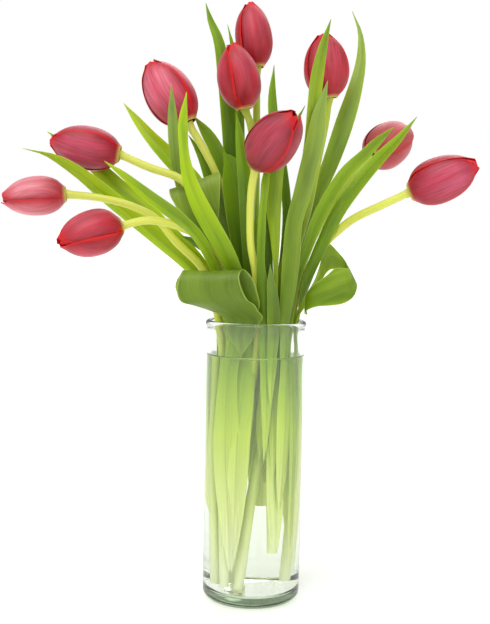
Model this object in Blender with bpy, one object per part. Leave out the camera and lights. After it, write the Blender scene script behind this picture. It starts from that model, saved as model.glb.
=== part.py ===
"""Ten cut tulips with their leaves, standing in a straight glass vase of water.

Millimetres are used in the design values below and turned into metres when a
mesh is made.  The origin is the middle of the vase's foot, +Z is up, +X is to
the right of the bunch and -Y is its front.

Every stem and leaf follows a smooth curve through a few chosen points, the
lowest one first.  A tulip's six petals are two whorls of three, and each
whorl is one cup with three pointed lobes.
"""

import math

import bpy
from mathutils import Matrix, Vector

MM = 0.001

# ---- driving dimensions, in millimetres --------------------------------

VASE_HEIGHT = 250.0
VASE_RADIUS = 43.5
WALL = 3.5
FLOOR = 9.0
FOOT_RADIUS = 8.0
RIM_BEAD_HEIGHT = 8.0
RIM_BEAD_PROUD = 1.2
VASE_SIDES = 40

WATER_LEVEL = 219.0
WATER_SIDES = 32
GAP = 0.35

STEM_RADIUS = 3.6
STEM_SIDES = 8
STEM_STEPS = 12

LEAF_THICKNESS = 1.0
LEAF_STEPS = 18
LEAF_TIP = 0.5
LEAF_CUP = 0.22

PETAL_THICKNESS = 1.0
WHORL_SIDES = 12
WHORL_STEP = 2.4
LOBES = 3

# ---- colours: red, green, blue -----------------------------------------

GLASS = (0.90, 0.94, 0.92)
WATER = (0.80, 0.90, 0.82)
STEM_GREEN = (0.46, 0.52, 0.10)
LEAF_GREEN = (0.16, 0.30, 0.04)
PETAL_RED = (0.62, 0.06, 0.09)

# ---- stems: points (x, y, z), lowest first ------------------------------

STEMS = {
    "tulip_1": [(-14, 14, 52), (-15, 9, 130), (-16, 3, 250), (-38, -2, 320),
                (-54, -6, 357), (-67, -3, 371), (-97, 2, 382), (-123, 4, 393)],
    "tulip_2": [(-25, -4, 14), (-30, -6, 130), (-33, -8, 250), (-47, -10, 294),
                (-72, -13, 319), (-89, -14, 338), (-110, -15, 348),
                (-135, -14, 354), (-168, -10, 357)],
    "tulip_3": [(-20, -16, 14), (-22, -10, 130), (-21, -6, 250), (-37, -10, 306),
                (-53, -18, 324), (-64, -28, 330), (-79, -38, 335),
                (-95, -48, 336), (-114, -55, 331)],
    "tulip_4": [(-7, 27, 14), (-8, 27, 130), (-9, 24, 250), (-26, 21, 319),
                (-36, 19, 372), (-50, 17, 400), (-64, 16, 422)],
    "tulip_5": [(5, 28, 80), (5, 28, 150), (4, 28, 250), (-2, 30, 328),
                (-3, 36, 400), (-4, 42, 475)],
    "tulip_6": [(9, 14, 104), (4, 13, 170), (-3, 13, 250), (-7, 14, 329),
                (-6, 14, 399), (-9, 13, 423), (-14, 12, 435)],
    "tulip_7": [(-14, 2, 14), (-9, -3, 100), (-6, -10, 165), (2, -22, 250),
                (-1, -25, 291), (-6, -28, 317), (-7, -30, 342),
                (-6, -32, 366), (-3, -35, 384)],
    "tulip_8": [(-9, -14, 12), (0, -7, 100), (9, -1, 165), (22, -7, 250),
                (34, -8, 313), (44, -6, 352), (51, -3, 391), (57, 0, 426),
                (59, 0, 445)],
    "tulip_9": [(22, 4, 16), (27, 8, 130), (29, 11, 250), (41, 14, 301),
                (55, 19, 334), (78, 30, 369), (102, 45, 396)],
    "tulip_10": [(15, -11, 45), (15, -12, 150), (25, -7, 215), (31, -3, 252),
                 (44, 0, 293), (54, 0, 312), (66, -4, 326), (80, -15, 339),
                 (103, -33, 352), (127, -40, 364)],
}

# ---- heads: tip (x, y, z), widest diameter, twist in degrees ------------

HEADS = {
    "tulip_1": ((-185, 2, 404), 39, -20),
    "tulip_2": ((-223, -15, 352), 35, 48),
    "tulip_3": ((-163, -75, 317), 39, 46),
    "tulip_4": ((-100, 26, 476), 44, -4),
    "tulip_5": ((-12, 50, 534), 34, 55),
    "tulip_6": ((-27, 12, 492), 38, 38),
    "tulip_7": ((29, -70, 426), 42, 76),
    "tulip_8": ((53, 0, 500), 40, 0),
    "tulip_9": ((139, 80, 424), 42, 0),
    "tulip_10": ((181, -55, 388), 39, 69),
}

# ---- plain leaves: points (x, y, z, width, turn), lowest first ----------
# turn is the direction of the width, in degrees from +X towards +Y

LEAVES = {
    "leaf_far_left": [
        (-32, 10, 224, 9, -60), (-33, 10, 254, 10, -50), (-59, 4, 295, 12, 0),
        (-82, 0, 315, 13, 0), (-112, -3, 340, 14, 0), (-134, -7, 358, 15, 0),
        (-156, -17, 376, 12, 0), (-178, -30, 389, 7, 0), (-198, -44, 394, 0, 0)],
    "leaf_left_low": [
        (-27, 18, 224, 8, -50), (-28, 19, 254, 9, -42), (-53, 13, 300, 12, -5),
        (-83, 10, 329, 14, 0), (-104, 11, 348, 16, 0), (-125, 16, 364, 16, 0),
        (-148, 23, 384, 13, 0), (-170, 30, 400, 9, 0), (-192, 34, 413, 0, 0)],
    "leaf_left_middle": [
        (-21, -15, 224, 8, -20), (-24, -16, 254, 9, -20), (-40, -20, 304, 10, 0),
        (-52, -29, 324, 11, 0), (-69, -42, 340, 12, 0), (-87, -49, 353, 11, 0),
        (-101, -53, 364, 9, 0), (-113, -57, 374, 6, 0), (-127, -61, 384, 0, 0)],
    "leaf_left_upper": [
        (-20, 24, 224, 9, 0), (-22, 25, 254, 11, 0), (-41, 25, 332, 13, 0),
        (-56, 25, 368, 15, 0), (-78, 27, 390, 16, 0), (-99, 34, 411, 12, 0),
        (-113, 42, 427, 7, 0), (-125, 48, 441, 0, 0)],
    "leaf_left_narrow": [
        (-19, 17, 224, 7, 0), (-21, 17, 254, 8, 0), (-49, 17, 319, 9, 0),
        (-64, 20, 350, 9, 0), (-70, 17, 366, 8, 0), (-73, 10, 380, 8, 0),
        (-75, -1, 402, 9, 0),
        (-76, -8, 427, 8, 0), (-77, -12, 453, 0, 0)],
    "leaf_front_left": [
        (-8, -15, 224, 10, 0), (-9, -17, 252, 12, 0), (-18, -22, 290, 13, 0),
        (-28, -27, 312, 15, 0), (-40, -31, 332, 16, 0), (-51, -34, 352, 15, 0),
        (-59, -38, 372, 12, 0), (-63, -43, 394, 8, 0), (-64, -48, 418, 8, 0),
        (-61, -54, 442, 0, 0)],
    "leaf_back_left": [
        (-5, 34, 224, 9, 0), (-6, 34, 256, 11, 0), (-20, 34, 319, 13, 0),
        (-30, 34, 368, 13, 0), (-38, 34, 398, 13, 0), (-49, 36, 416, 10, 0),
        (-60, 39, 430, 0, 0)],
    "leaf_left_short": [
        (-12, 30, 224, 8, 0), (-13, 31, 256, 10, 0), (-32, 30, 323, 10, 0),
        (-42, 29, 364, 10, 0), (-52, 28, 394, 8, 0), (-64, 27, 412, 0, 0)],
    "leaf_tall_left": [
        (9, 36, 224, 9, 0), (7, 36, 256, 11, 0), (-16, 41, 319, 14, 0),
        (-23, 42, 373, 15, 0), (-28, 42, 427, 15, 0), (-33, 44, 465, 13, 0),
        (-40, 50, 501, 9, 0), (-48, 56, 520, 5, 0), (-52, 60, 534, 0, 0)],
    "leaf_thin_back": [
        (1, 20, 224, 6, 0), (0, 20, 256, 7, 0), (-13, 23, 328, 8, 0),
        (-17, 27, 399, 8, 0), (-19, 35, 442, 7, 0), (-25, 36, 487, 5, 0),
        (-31, 36, 511, 0, 0)],
    "leaf_centre_edge": [
        (-2, -5, 224, 10, 0), (-2, -7, 256, 12, 0), (-7, -10, 307, 12, 0),
        (-10, -12, 342, 12, 0), (-13, -13, 376, 11, 0), (-17, -13, 406, 8, 0),
        (-21, -13, 430, 0, 0)],
    "leaf_centre_point": [
        (17, 0, 224, 8, 0), (18, 0, 256, 9, 0), (24, 0, 312, 8, 0),
        (25, 0, 347, 8, 0), (20, 0, 383, 9, 0), (13, 0, 416, 9, 0),
        (10, 1, 446, 7, 0), (11, 1, 472, 0, 0)],
    "leaf_centre_right": [
        (10, -12, 224, 8, 0), (11, -14, 256, 10, 0), (9, -16, 308, 8, 0),
        (7, -17, 342, 8, 0), (15, -18, 385, 9, 0), (27, -18, 415, 6, 0),
        (38, -18, 436, 0, 0)],
    "leaf_centre_broad": [
        (14, -22, 224, 7, 0), (15, -24, 256, 7, 0), (16, -25, 294, 4, 0),
        (15, -25, 321, 8, 0), (13, -24, 351, 13, 0), (14, -23, 381, 14, 0),
        (20, -23, 406, 9, 0), (27, -23, 425, 0, 0)],
    "leaf_front_right": [
        (24, -24, 224, 9, 40), (25, -25, 254, 10, 35), (27, -27, 279, 13, 0),
        (29, -28, 307, 15, 0), (31, -29, 338, 14, 0), (36, -29, 357, 15, 0),
        (41, -29, 380, 15, 0), (47, -29, 407, 15, 0), (50, -29, 430, 11, 0),
        (53, -29, 443, 6, 0), (56, -29, 456, 0, 0)],
    "leaf_channelled": [
        (17, -15, 224, 9, 0), (18, -16, 256, 10, 0), (28, -18, 317, 10, 0),
        (38, -20, 364, 12, 0), (44, -22, 407, 12, 0), (45, -26, 434, 11, 0),
        (47, -32, 460, 11, 0), (51, -42, 484, 7, 0), (56, -52, 503, 0, 0)],
    "leaf_tall_right": [
        (24, 2, 224, 8, 0), (24, 3, 256, 10, 0), (36, 4, 308, 10, 0),
        (43, 5, 334, 11, 0), (53, 6, 363, 12, 0), (65, 9, 396, 15, 0),
        (75, 13, 427, 16, 0), (83, 20, 454, 13, 0), (89, 32, 486, 8, 0),
        (88, 40, 507, 4, 0), (81, 48, 527, 0, 0)],
    "leaf_right_upper": [
        (29, -17.5, 224, 6, 60), (29.5, -18.5, 254, 6, 50), (36, -19, 294, 7, 0),
        (43, -19, 316, 9, 0), (51, -18, 339, 11, 0), (62, -17, 361, 11, 0),
        (75, -17, 381, 11, 0), (89, -21, 395, 10, 0), (102, -28, 409, 7, 0),
        (112, -34, 418, 0, 0)],
    "leaf_right_outer": [
        (37.5, -6, 224, 7, 84), (37.5, -7, 254, 7, 72), (45, -10, 290, 9, 12),
        (57, -14, 321, 11, 0), (70, -9, 348, 12, 0), (87, -1, 372, 12, 0),
        (104, 1, 393, 11, 0), (121, 0, 411, 7, 0), (136, 0, 430, 0, 0)],
    "leaf_centre_narrow": [
        (8, -28, 224, 8, 0), (7, -31, 254, 10, 0), (5, -32, 278, 10, 0),
        (3, -33, 302, 7, 0), (3, -33, 325, 7, 0), (4, -33, 351, 6, 0),
        (6, -30, 376, 6, 0), (8, -27, 390, 0, 0)],
    "leaf_front_wedge": [
        (14, -31, 224, 9, 20), (15, -34, 252, 11, 20), (14, -35, 270, 10, 0),
        (12, -35, 285, 7, 0), (11, -34, 301, 0, 0)],
    "leaf_dark_left": [
        (-34, 0, 224, 6, 80), (-34, 0, 254, 7, 60), (-39, 1, 296, 6, 0),
        (-44, -1, 309, 7, 0), (-54, -4, 317, 8, 0), (-67, -7, 323, 0, 0)],
    "leaf_arched_back": [
        (-4, 4, 224, 8, 0), (-5, 4, 256, 9, 0), (-14, 5, 320, 20, 0),
        (-18, 5, 352, 24, 0), (-21, 5, 376, 23, 0), (-27, 5, 390, 10, 0),
        (-32, 5, 396, 0, 0)],
}

# ---- curled leaves: middle, half-width vector and sag -------------------
# (x, y, z, half_x, half_y, half_z, sag), the leaf's foot first

CURLED_LEAVES = {
    "leaf_front_curled": [
        (-18, -24, 224, 7, -3, 0, 0), (-12, -27, 252, 11, -4, 0, -2),
        (-15, -29, 258, 16, -4, 0, -2), (-24, -32, 266, 27, -5, 1, -3),
        (-33, -34, 275, 34, -4, 1, -2), (-36, -36, 286, 33, -4, 2, -1),
        (-37, -41, 295, 26, -1, 1, 1),
        (-40, -50, 290, 25, -1, 1, 1), (-40, -52, 281, 27, -1, 1, 1),
        (-36, -52, 271, 28, 0, 1, 1), (-28, -46, 266, 26, -2, 1, -1),
        (-20, -38, 260, 21, -4, 1, -3), (-12, -33, 253, 17, -4, 0, -4),
        (-12, -32, 249, 14, -3, 0, -4),
        (-13, -30, 237, 10, -4, 0, -3), (-12, -32, 223, 1, 0, 0, 0)],
    "leaf_right_loop": [
        (34.5, -13.5, 224, 1.3, -2.2, 0, 0), (34.5, -13.5, 252, 1.3, -2.2, 0, 0),
        (44, -16, 271, 2, -1, -2, 0), (51, -14, 283, 2, -1, -2, 0),
        (56, -7, 293, 2, -1, -4, 0), (60, -1, 302, 2, -0.5, -8, 0),
        (64, 2, 307, 2, -0.5, -11, 0), (74, -0.5, 303, 4, -2, -9, 0),
        (81, -6, 296, 4, -2, -8, 0), (83, -13, 290, 4, -1, -8, 0),
        (80, -20, 286, 4, -0.5, -12, 0), (71, -24, 283, 4, -1, -15, 0),
        (62, -25, 279, 2, -1.0, -13, 0), (52, -24, 275, 0.6, -2, -10, 0),
        (45, -20, 270, 0.1, -2, -8, 0), (42, -15, 264, -0.1, -1, -6, 0),
        (44.5, -9, 257, 0, 0, -1, 0)],
    "leaf_arched_left": [
        (-18, 11, 224, 5, 0, 0, 0), (-18, 11, 256, 7, 0, 1, 0),
        (-30, 13, 310, 13, 0, 3, 0), (-52, 14, 352, 20, 0, 7, 1),
        (-56, 12, 366, 22, 0, 8, 1), (-57, 7, 371, 22, 0, 8, 1),
        (-56, 2, 366, 22, 0, 8, 1), (-52, 0, 352, 18, 0, 6, 1),
        (-45, 3, 334, 10, 0, 3, 1), (-38, 6, 320, 1, 0, 0, 0)],
}
CURL_STEPS = 34


# ---- curves and lofts ----------------------------------------------------

def smooth(rows, steps):
    """Points evenly spaced along a smooth curve through the rows."""
    rows = [tuple(float(value) for value in row) for row in rows]
    count = len(rows)
    gaps = [math.dist(rows[i][:3], rows[i + 1][:3]) for i in range(count - 1)]
    slopes = []
    for i in range(count):
        if i == 0:
            pair = [(b - a) / gaps[0] for a, b in zip(rows[0], rows[1])]
        elif i == count - 1:
            pair = [(b - a) / gaps[-1] for a, b in zip(rows[-2], rows[-1])]
        else:
            before, after = gaps[i - 1], gaps[i]
            pair = [
                ((c - b) / after * before + (b - a) / before * after)
                / (before + after)
                for a, b, c in zip(rows[i - 1], rows[i], rows[i + 1])
            ]
        slopes.append(pair)
    total = sum(gaps)
    points = []
    for step in range(steps + 1):
        left = total * step / steps
        i = 0
        while i < count - 2 and left > gaps[i]:
            left -= gaps[i]
            i += 1
        t = min(1.0, left / gaps[i])
        h00 = 2 * t**3 - 3 * t**2 + 1
        h10 = t**3 - 2 * t**2 + t
        h01 = 3 * t**2 - 2 * t**3
        h11 = t**3 - t**2
        points.append([
            h00 * a + h10 * gaps[i] * ma + h01 * b + h11 * gaps[i] * mb
            for a, ma, b, mb in zip(rows[i], slopes[i], rows[i + 1], slopes[i + 1])
        ])
    return points


def tangents(points):
    """Unit directions along a list of points."""
    last = len(points) - 1
    return [
        (points[min(i + 1, last)] - points[max(i - 1, 0)]).normalized()
        for i in range(last + 1)
    ]


def loft(rings):
    """Vertices and faces of a closed tube through rings of equal length."""
    sides = len(rings[0])
    vertices = [point for ring in rings for point in ring]
    faces = []
    for i in range(len(rings) - 1):
        for k in range(sides):
            after = (k + 1) % sides
            low, high = i * sides, (i + 1) * sides
            faces.append((low + k, low + after, high + after, high + k))
    faces.append(tuple(reversed(range(sides))))
    top = (len(rings) - 1) * sides
    faces.append(tuple(range(top, top + sides)))
    return vertices, faces


# ---- materials and objects ------------------------------------------------

def material(name, colour, roughness, transmission=0.0):
    """A Principled material, made once for each name."""
    found = bpy.data.materials.get(name)
    if found:
        return found
    made = bpy.data.materials.new(name)
    made.use_nodes = True
    shader = made.node_tree.nodes["Principled BSDF"]
    shader.inputs["Base Color"].default_value = (*colour, 1.0)
    shader.inputs["Roughness"].default_value = roughness
    shader.inputs["Metallic"].default_value = 0.0
    shader.inputs["Transmission Weight"].default_value = transmission
    return made


def add_object(name, vertices, faces, finish):
    """One named object from vertices in millimetres."""
    mesh = bpy.data.meshes.new(name)
    mesh.from_pydata([Vector(point) * MM for point in vertices], [], faces)
    mesh.validate()
    mesh.materials.append(finish)
    mesh.shade_smooth()
    mesh.set_sharp_from_angle(angle=math.radians(45))
    made = bpy.data.objects.new(name, mesh)
    bpy.context.collection.objects.link(made)
    return made


def turned(name, profile, sides, finish):
    """A closed body turned about Z from (radius, height), axis to axis."""
    rings = []
    for radius, height in profile[1:-1]:
        rings.append([
            Vector((radius * math.cos(math.tau * k / sides),
                    radius * math.sin(math.tau * k / sides), height))
            for k in range(sides)
        ])
    vertices = [point for ring in rings for point in ring]
    faces = []
    for i in range(len(rings) - 1):
        for k in range(sides):
            after = (k + 1) % sides
            faces.append((i * sides + k, i * sides + after,
                          (i + 1) * sides + after, (i + 1) * sides + k))
    first, last = len(vertices), len(vertices) + 1
    vertices.append(Vector((0.0, 0.0, profile[0][1])))
    vertices.append(Vector((0.0, 0.0, profile[-1][1])))
    top = (len(rings) - 1) * sides
    for k in range(sides):
        after = (k + 1) % sides
        faces.append((first, after, k))
        faces.append((last, top + k, top + after))
    return add_object(name, vertices, faces, finish)


# ---- vase and water --------------------------------------------------------

def quarter(centre_radius, centre_height, radius, start, end, steps):
    """Points of a round corner in the (radius, height) plane."""
    points = []
    for step in range(steps + 1):
        angle = math.radians(start + (end - start) * step / steps)
        points.append((centre_radius + radius * math.cos(angle),
                       centre_height + radius * math.sin(angle)))
    return points


def make_vase():
    """A straight glass with a thick floor, a round foot and a beaded rim."""
    inner = VASE_RADIUS - WALL
    bead_low = VASE_HEIGHT - RIM_BEAD_HEIGHT
    proud = VASE_RADIUS + RIM_BEAD_PROUD
    profile = [(0.0, 0.0)]
    profile += quarter(VASE_RADIUS - FOOT_RADIUS, FOOT_RADIUS, FOOT_RADIUS, -90, 0, 4)
    profile += [(VASE_RADIUS, bead_low), (proud, bead_low + 2.0),
                (proud, VASE_HEIGHT - 2.0), (proud - 1.5, VASE_HEIGHT),
                (inner + 0.8, VASE_HEIGHT), (inner, VASE_HEIGHT - 1.0)]
    profile += quarter(inner - 5.0, FLOOR + 5.0, 5.0, 0, -90, 2)
    profile += [(0.0, FLOOR)]
    turned("vase", profile, VASE_SIDES, material("glass", GLASS, 0.05, 1.0))


def make_water():
    """The water, with a clear bore round every stem that stands in it."""
    wide = VASE_RADIUS - WALL - GAP - 0.25
    low = FLOOR + GAP
    profile = [(0.0, low)]
    profile += quarter(wide - 5.0, low + 5.0, 5.0, -90, 0, 2)
    profile += [(wide, WATER_LEVEL), (0.0, WATER_LEVEL)]
    water = turned("water", profile, WATER_SIDES, material("water", WATER, 0.02, 1.0))
    for name, rows in STEMS.items():
        cutter = make_stem(name + "_bore", rows, STEM_RADIUS + GAP, GAP)
        cutter.hide_render = True
        cutter.display_type = "WIRE"
        cut = water.modifiers.new(name, "BOOLEAN")
        cut.object = cutter
        cut.operation = "DIFFERENCE"
        cut.solver = "EXACT"


# ---- stems and petals --------------------------------------------------------

def make_stem(name, rows, radius, longer=0.0):
    """A round stem along its curve; longer pushes its foot further down."""
    points = [Vector(row) for row in smooth(rows, STEM_STEPS)]
    ways = tangents(points)
    points[0] = points[0] - ways[0] * longer
    side = ways[0].cross(Vector((0.0, 1.0, 0.0))).normalized()
    rings = []
    for point, way in zip(points, ways):
        side = (side - way * side.dot(way)).normalized()
        across = way.cross(side)
        rings.append([
            point + radius * (side * math.cos(math.tau * k / STEM_SIDES)
                              + across * math.sin(math.tau * k / STEM_SIDES))
            for k in range(STEM_SIDES)
        ])
    vertices, faces = loft(rings)
    return add_object(name, vertices, faces, material("stem", STEM_GREEN, 0.45))


# share of the length and of the radius along a closed tulip's side
CUP = [(0.0, 0.20), (0.06, 0.55), (0.25, 0.93), (0.50, 1.0), (0.78, 0.78), (1.0, 0.28)]
LOBE_HEIGHTS = (1.0, 0.86, 0.62, 0.86)


def cup_radius(share):
    """Radius share of the cup at a share of its length."""
    for (low, a), (high, b) in zip(CUP, CUP[1:]):
        if share <= high:
            return a + (b - a) * (share - low) / (high - low)
    return CUP[-1][1]


def lobed(level, lobe):
    """A level of the whole cup, squeezed above its middle by a low lobe."""
    middle = 0.5
    if level <= middle:
        return level
    return middle + (level - middle) * (lobe - middle) / (1.0 - middle)


def whorl(name, base, tip, radius, twist, inset, finish):
    """Three petals joined at their feet: a cup with three pointed lobes."""
    axis = (tip - base).normalized()
    length = (tip - base).length
    turn = axis.to_track_quat("Z", "Y").to_matrix().to_4x4()
    place = Matrix.Translation(base) @ turn
    levels = (0.06, 0.25, 0.50, 0.78, 1.0)
    outer, inner = [], []
    for level in levels:
        for k in range(WHORL_SIDES):
            lobe = LOBE_HEIGHTS[k % len(LOBE_HEIGHTS)]
            share = lobed(level, lobe)
            height = inset + share * (length - inset)
            angle = math.tau * k / WHORL_SIDES + math.radians(twist)
            side = Vector((math.cos(angle), math.sin(angle), 0.0))
            rise = Vector((0.0, 0.0, height))
            wide = radius * cup_radius(height / length) - inset
            outer.append(place @ (side * wide + rise))
            inner.append(place @ (side * (wide - PETAL_THICKNESS)
                                  + rise + Vector((0.0, 0.0, PETAL_THICKNESS * 0.5))))
    n = WHORL_SIDES
    rows = len(levels)
    vertices = outer + inner
    vertices += [place @ Vector((0.0, 0.0, inset)),
                 place @ Vector((0.0, 0.0, inset + PETAL_THICKNESS))]
    start = rows * n
    faces = []
    for i in range(rows - 1):
        for k in range(n):
            after = (k + 1) % n
            low, high = i * n, (i + 1) * n
            faces.append((low + k, low + after, high + after, high + k))
            faces.append((start + low + after, start + low + k,
                          start + high + k, start + high + after))
    top = (rows - 1) * n
    for k in range(n):
        after = (k + 1) % n
        faces.append((top + k, top + after, start + top + after, start + top + k))
        faces.append((2 * start, after, k))
        faces.append((2 * start + 1, start + k, start + after))
    add_object(name, vertices, faces, finish)


def make_tulip(name):
    """A stem with its two whorls of petals."""
    rows = STEMS[name]
    tip, wide, twist = HEADS[name]
    make_stem(name + "_stem", rows, STEM_RADIUS)
    base = Vector(rows[-1])
    axis = (Vector(tip) - base).normalized()
    base += axis * 1.5
    finish = material("petal", PETAL_RED, 0.4)
    whorl(name + "_outer_petals", base, Vector(tip), wide / 2, twist, 0.0, finish)
    whorl(name + "_inner_petals", base, Vector(tip), wide / 2,
          twist + 180.0 / LOBES, WHORL_STEP, finish)


# ---- leaves -------------------------------------------------------------------

def leaf_ring(point, way, half, sag, thickness, square):
    """A thin cupped section: the lower side out, then the upper side back."""
    reach = half.length
    across = half / reach
    if square:
        across = (across - way * across.dot(way)).normalized()
    up = way.cross(across).normalized()
    ring = []
    for s in (-0.5, 0.0, 0.5):
        drop = thickness * (1.0 - s * s)
        ring.append(point + across * reach * s + up * (sag * (s * s - 0.5) - drop))
    for s in (1.0, 0.5, 0.0, -0.5, -1.0):
        ring.append(point + across * reach * s + up * sag * (s * s - 0.5))
    return ring


def add_leaf(name, points, halves, sags, square):
    """A leaf lofted through its sections, square to its run or as they lie."""
    ways = tangents(points)
    rings = []
    for point, way, half, sag in zip(points, ways, halves, sags):
        thickness = min(LEAF_THICKNESS, half.length)
        rings.append(leaf_ring(point, way, half, sag, thickness, square))
    vertices, faces = loft(rings)
    add_object(name, vertices, faces, material("leaf", LEAF_GREEN, 0.5))


def make_leaf(name, rows):
    """A plain leaf whose width lies level, turned about the vertical."""
    samples = smooth(rows, LEAF_STEPS)
    points, halves, sags = [], [], []
    for x, y, z, width, turn in samples:
        reach = max(width / 2, LEAF_TIP)
        angle = math.radians(turn)
        points.append(Vector((x, y, z)))
        halves.append(Vector((math.cos(angle), math.sin(angle), 0.0)) * reach)
        sags.append(LEAF_CUP * reach)
    add_leaf(name, points, halves, sags, True)


def make_curled_leaf(name, rows):
    """A leaf that rolls over, with its width given at every point."""
    samples = smooth(rows, CURL_STEPS)
    points = [Vector(row[:3]) for row in samples]
    halves, sags = [], []
    for row in samples:
        half = Vector(row[3:6])
        if half.length < LEAF_TIP:
            half = half.normalized() * LEAF_TIP
        halves.append(half)
        sags.append(row[6])
    add_leaf(name, points, halves, sags, False)


def main():
    """Clear the scene and build every piece."""
    for old in list(bpy.data.objects):
        bpy.data.objects.remove(old, do_unlink=True)
    make_vase()
    make_water()
    for name in STEMS:
        make_tulip(name)
    for name, rows in LEAVES.items():
        make_leaf(name, rows)
    for name, rows in CURLED_LEAVES.items():
        make_curled_leaf(name, rows)


main()
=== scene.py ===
"""Ten red tulips with their leaves, fanned out from a clear glass vase of water.

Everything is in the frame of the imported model.  Design values are in
millimetres and MM turns them into metres.  +Z is up, -Y is the front and the
origin is the middle of the vase's foot.
"""

import math
import random

import bpy
from mathutils import Matrix, Vector


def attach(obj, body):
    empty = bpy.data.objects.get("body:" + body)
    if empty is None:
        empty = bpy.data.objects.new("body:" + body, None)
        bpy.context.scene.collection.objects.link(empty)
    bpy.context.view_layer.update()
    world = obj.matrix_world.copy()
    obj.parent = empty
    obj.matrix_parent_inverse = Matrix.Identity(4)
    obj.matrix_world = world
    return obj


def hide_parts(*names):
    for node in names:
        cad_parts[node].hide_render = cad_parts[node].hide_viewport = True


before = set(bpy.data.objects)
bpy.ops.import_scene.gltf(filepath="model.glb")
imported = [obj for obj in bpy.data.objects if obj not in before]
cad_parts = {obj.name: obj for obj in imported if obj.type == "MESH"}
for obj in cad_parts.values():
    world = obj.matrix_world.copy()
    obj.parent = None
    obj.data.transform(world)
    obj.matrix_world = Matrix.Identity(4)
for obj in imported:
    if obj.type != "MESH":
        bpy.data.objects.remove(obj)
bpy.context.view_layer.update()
random.seed(7)

MM = 0.001
VASE_HEIGHT = 250.0
# above this height the leaves stand apart; the painted shade where they crowd is laid out against
# it
CROWD_HEIGHT = 400.0

# ---- camera, floor and light ------------------------------------------------

CAMERA_AT = Vector((0.0, -0.984, 0.348))
CAMERA_PITCH = math.radians(5.31)
CAMERA_YAW = math.radians(0.58)
CAMERA_ROLL = math.radians(1.14)
SENSOR = 36.0
LENS = 64.5


def make_camera():
    """The view from the front, a little above the vase's rim."""
    forward = Vector((-math.sin(CAMERA_YAW) * math.cos(CAMERA_PITCH),
                      math.cos(CAMERA_YAW) * math.cos(CAMERA_PITCH),
                      -math.sin(CAMERA_PITCH)))
    level = Vector((math.cos(CAMERA_YAW), math.sin(CAMERA_YAW), 0.0))
    above = level.cross(forward)
    right = level * math.cos(CAMERA_ROLL) + above * math.sin(CAMERA_ROLL)
    up = above * math.cos(CAMERA_ROLL) - level * math.sin(CAMERA_ROLL)
    turn = Matrix((right, up, -forward)).transposed()
    data = bpy.data.cameras.new("camera")
    data.sensor_fit = "VERTICAL"
    data.sensor_height = SENSOR
    data.lens = LENS
    data.clip_start = 0.02
    data.clip_end = 30.0
    camera = bpy.data.objects.new("camera", data)
    camera.matrix_world = Matrix.Translation(CAMERA_AT) @ turn.to_4x4()
    bpy.context.collection.objects.link(camera)
    bpy.context.scene.camera = camera


def make_sun(name, place, angle, power, colour):
    """Even soft light from a direction."""
    data = bpy.data.lights.new(name, "SUN")
    data.angle = math.radians(angle)
    data.energy = power
    data.color = colour
    lamp = bpy.data.objects.new(name, data)
    lamp.location = place
    lamp.rotation_euler = (-Vector(place)).to_track_quat("-Z", "Y").to_euler()
    bpy.context.collection.objects.link(lamp)


def make_light():
    """A white surround that lights softly, a wide key, a fill and a back light."""
    world = bpy.data.worlds.new("studio")
    world.use_nodes = True
    tree = world.node_tree
    sky = tree.nodes["Background"]
    sky.inputs["Color"].default_value = (1.0, 1.0, 1.0, 1.0)
    path = tree.nodes.new("ShaderNodeLightPath")
    seen = tree.nodes.new("ShaderNodeMath")
    seen.operation = "MAXIMUM"
    tree.links.new(path.outputs["Is Camera Ray"], seen.inputs[0])
    tree.links.new(path.outputs["Is Transmission Ray"], seen.inputs[1])
    level = tree.nodes.new("ShaderNodeMapRange")
    level.inputs["To Min"].default_value = 0.55
    level.inputs["To Max"].default_value = 1.0
    tree.links.new(seen.outputs[0], level.inputs["Value"])
    tree.links.new(level.outputs[0], sky.inputs["Strength"])
    bpy.context.scene.world = world
    bpy.context.scene.view_settings.view_transform = "Standard"
    make_sun("sun_key", (-0.5, -0.9, 1.7), 55.0, 1.9, (1.0, 0.99, 0.96))
    make_sun("sun_fill", (0.9, -1.4, 0.5), 50.0, 0.45, (0.98, 0.99, 1.0))
    make_sun("sun_back", (0.3, 1.2, 1.2), 50.0, 1.1, (1.0, 1.0, 1.0))


make_camera()
make_light()


# ---- curves -----------------------------------------------------------------

def smooth(rows, steps):
    """Rows evenly spaced along a smooth curve through the given rows."""
    rows = [tuple(float(value) for value in row) for row in rows]
    count = len(rows)
    gaps = [math.dist(rows[i][:3], rows[i + 1][:3]) for i in range(count - 1)]
    slopes = []
    for i in range(count):
        if i == 0:
            pair = [(b - a) / gaps[0] for a, b in zip(rows[0], rows[1])]
        elif i == count - 1:
            pair = [(b - a) / gaps[-1] for a, b in zip(rows[-2], rows[-1])]
        else:
            before, after = gaps[i - 1], gaps[i]
            pair = [
                ((c - b) / after * before + (b - a) / before * after)
                / (before + after)
                for a, b, c in zip(rows[i - 1], rows[i], rows[i + 1])
            ]
        slopes.append(pair)
    total = sum(gaps)
    points = []
    for step in range(steps + 1):
        left = total * step / steps
        i = 0
        while i < count - 2 and left > gaps[i]:
            left -= gaps[i]
            i += 1
        t = min(1.0, left / gaps[i])
        h00 = 2 * t**3 - 3 * t**2 + 1
        h10 = t**3 - 2 * t**2 + t
        h01 = 3 * t**2 - 2 * t**3
        h11 = t**3 - t**2
        points.append([
            h00 * a + h10 * gaps[i] * ma + h01 * b + h11 * gaps[i] * mb
            for a, ma, b, mb in zip(rows[i], slopes[i], rows[i + 1], slopes[i + 1])
        ])
    return points


def tangents(points):
    """Unit directions along a list of points."""
    last = len(points) - 1
    return [
        (points[min(i + 1, last)] - points[max(i - 1, 0)]).normalized()
        for i in range(last + 1)
    ]


def ease(value):
    """A smooth step from 0 to 1."""
    value = max(0.0, min(1.0, value))
    return value * value * (3.0 - 2.0 * value)


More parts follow.
